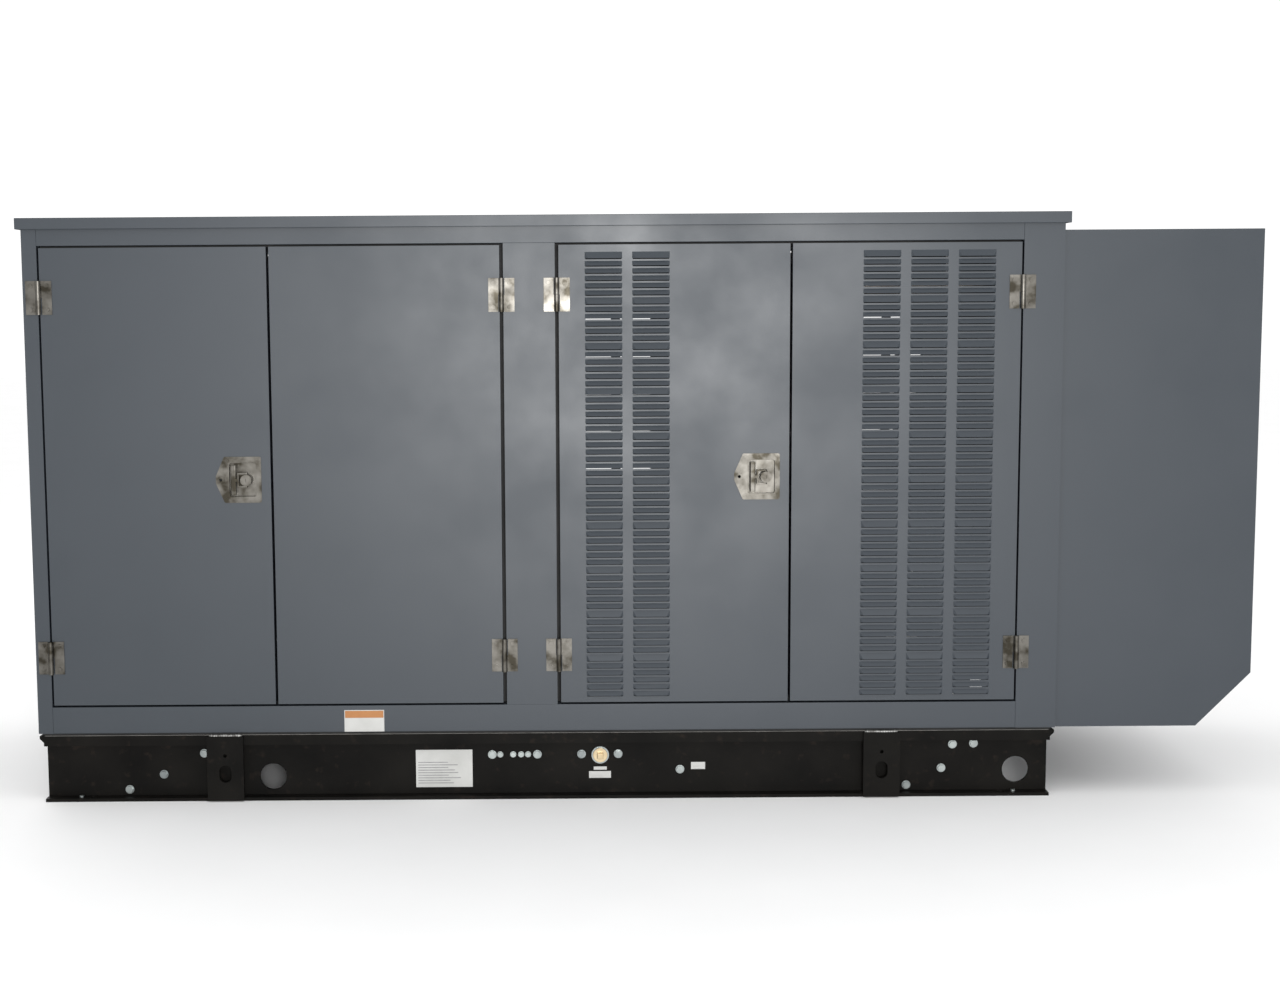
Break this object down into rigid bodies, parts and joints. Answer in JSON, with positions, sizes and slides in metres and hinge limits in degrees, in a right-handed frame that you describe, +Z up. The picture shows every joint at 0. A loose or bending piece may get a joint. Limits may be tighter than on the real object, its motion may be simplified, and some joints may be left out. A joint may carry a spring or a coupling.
{
  "type": "enclosed standby generator set",
  "caption": "Steel-clad generator set on a channel base: hinged doors, some louvred, folding T-handle latches, a discharge hood at one end, engine and alternator inside.",
  "frame": {"origin": "centre of the four anchor holes, at the underside of the base", "axes": "+X along the set towards the discharge hood, +Y from the door side to the rear, +Z up"},
  "size_m": [3.332, 1.0585, 1.588],
  "materials": {
    "cabinet_paint": "satin powder coat",
    "base_paint": "satin black",
    "stainless": "brushed",
    "zinc": "zinc plated",
    "brass": "dull",
    "engine_iron": "painted casting",
    "steel": "machined",
    "alternator_paint": "painted",
    "cast_aluminium": "as cast",
    "black_steel": "satin black",
    "exhaust_steel": "heat stained",
    "rubber": "matt",
    "black_plastic": "moulded",
    "control_paint": "light grey",
    "screen_plastic": "gloss",
    "red_plastic": "gloss"
  },
  "bodies": {
    "genset": {"air_cleaner": "black_steel", "alternator_housing": "alternator_paint", "base_bolts": "zinc", "base_cross_members": "base_paint", "base_rail_front": "base_paint", "base_rail_rear": "base_paint", "battery": "black_plastic", "breaker_box": "control_paint", "cabinet_posts": "cabinet_paint", "cabinet_rails": "cabinet_paint", "control_box": "control_paint", "control_screen": "screen_plastic", "cylinder_heads": "engine_iron", "engine_block": "engine_iron", "exhaust_manifolds": "engine_iron", "exhaust_system": "exhaust_steel", "fan_belt": "rubber", "fan_shroud": "black_steel", "frame_hinges": "stainless", "fuel_inlet_coupling": "zinc", "fuel_inlet_plug": "brass", "hood_outlet_blades": "cabinet_paint", "hood_panels": "cabinet_paint", "inner_brackets": "base_paint", "intake_manifold": "cast_aluminium", "left_end_panel": "cabinet_paint", "lifting_brackets": "base_paint", "oil_pan": "black_steel", "radiator": "black_steel", "radiator_hoses": "rubber", "rear_panels": "cabinet_paint", "right_end_surround": "cabinet_paint", "roof_panel": "cabinet_paint", "rubber_isolators": "rubber", "seals": "rubber", "skid_rails": "base_paint", "valve_covers": "cast_aluminium"},
    "crank_train": {"alternator_rotor": "steel", "crank_pulley": "engine_iron", "crankshaft": "steel"},
    "breaker_toggle": {"breaker_handle": "black_plastic"},
    "fan": {"cooling_fan": "black_plastic"},
    "door_1": {"door_1_hardware": "stainless", "door_1_panel": "cabinet_paint", "latch_1_plate": "stainless"},
    "door_2": {"door_2_hardware": "stainless", "door_2_panel": "cabinet_paint"},
    "door_3": {"door_3_hardware": "stainless", "door_3_panel": "cabinet_paint", "latch_3_plate": "stainless"},
    "door_4": {"door_4_hardware": "stainless", "door_4_panel": "cabinet_paint"},
    "stop_button": {"emergency_stop_button": "red_plastic"},
    "latch_1_handle_body": {"latch_1_handle": "stainless"},
    "latch_1_lock_plug_body": {"latch_1_lock_plug": "stainless"},
    "latch_1_spindle_body": {"latch_1_spindle": "stainless"},
    "latch_3_handle_body": {"latch_3_handle": "stainless"},
    "latch_3_lock_plug_body": {"latch_3_lock_plug": "stainless"},
    "latch_3_spindle_body": {"latch_3_spindle": "stainless"},
    "switch_knob": {"mode_switch": "black_plastic"}
  },
  "joints": [
    {"name": "door_1_swing", "type": "hinge", "parent": "genset", "child": "door_1", "pos_m": [-1.34925, -0.516, 0.885], "axis": [0, 0, -1], "range_deg": [0, 160]},
    {"name": "door_2_swing", "type": "hinge", "parent": "genset", "child": "door_2", "pos_m": [-0.113, -0.516, 0.885], "axis": [0, 0, 1], "range_deg": [0, 90]},
    {"name": "door_3_swing", "type": "hinge", "parent": "genset", "child": "door_3", "pos_m": [0.035, -0.516, 0.885], "axis": [0, 0, -1], "range_deg": [0, 90]},
    {"name": "door_4_swing", "type": "hinge", "parent": "genset", "child": "door_4", "pos_m": [1.28025, -0.516, 0.885], "axis": [0, 0, 1], "range_deg": [0, 160]},
    {"name": "latch_1_turn", "type": "hinge", "parent": "door_1", "child": "latch_1_spindle_body", "pos_m": [-0.8045, -0.5, 0.885], "axis": [0, -1, 0], "range_deg": [0, 90]},
    {"name": "latch_1_fold", "type": "hinge", "parent": "latch_1_spindle_body", "child": "latch_1_handle_body", "pos_m": [-0.8045, -0.517, 0.885], "axis": [0, 0, 1], "range_deg": [0, 90]},
    {"name": "latch_1_key", "type": "hinge", "parent": "latch_1_spindle_body", "child": "latch_1_lock_plug_body", "pos_m": [-0.8045, -0.52, 0.885], "axis": [0, -1, 0], "range_deg": [0, 90]},
    {"name": "latch_3_turn", "type": "hinge", "parent": "door_3", "child": "latch_3_spindle_body", "pos_m": [0.595, -0.5, 0.885], "axis": [0, -1, 0], "range_deg": [0, 90]},
    {"name": "latch_3_fold", "type": "hinge", "parent": "latch_3_spindle_body", "child": "latch_3_handle_body", "pos_m": [0.595, -0.517, 0.885], "axis": [0, 0, 1], "range_deg": [0, 90]},
    {"name": "latch_3_key", "type": "hinge", "parent": "latch_3_spindle_body", "child": "latch_3_lock_plug_body", "pos_m": [0.595, -0.52, 0.885], "axis": [0, -1, 0], "range_deg": [0, 90]},
    {"name": "crank_spin", "type": "hinge", "parent": "genset", "child": "crank_train", "pos_m": [0.7, 0, 0.56], "axis": [1, 0, 0], "continuous": true},
    {"name": "fan_spin", "type": "hinge", "parent": "genset", "child": "fan", "pos_m": [1.1, 0, 0.79], "axis": [1, 0, 0], "continuous": true},
    {"name": "stop_press", "type": "slide", "parent": "genset", "child": "stop_button", "axis": [0, 1, 0], "range_m": [0, 0.006]},
    {"name": "mode_turn", "type": "hinge", "parent": "genset", "child": "switch_knob", "pos_m": [-1.12, -0.385, 0.94], "axis": [0, -1, 0], "range_deg": [-45, 45]},
    {"name": "breaker_throw", "type": "hinge", "parent": "genset", "child": "breaker_toggle", "pos_m": [-0.56, -0.35, 1.06], "axis": [1, 0, 0], "range_deg": [-25, 25]}
  ],
  "couplings": [
    {"joint": "fan_spin", "follows": "crank_spin", "ratio": 1.25}
  ]
}
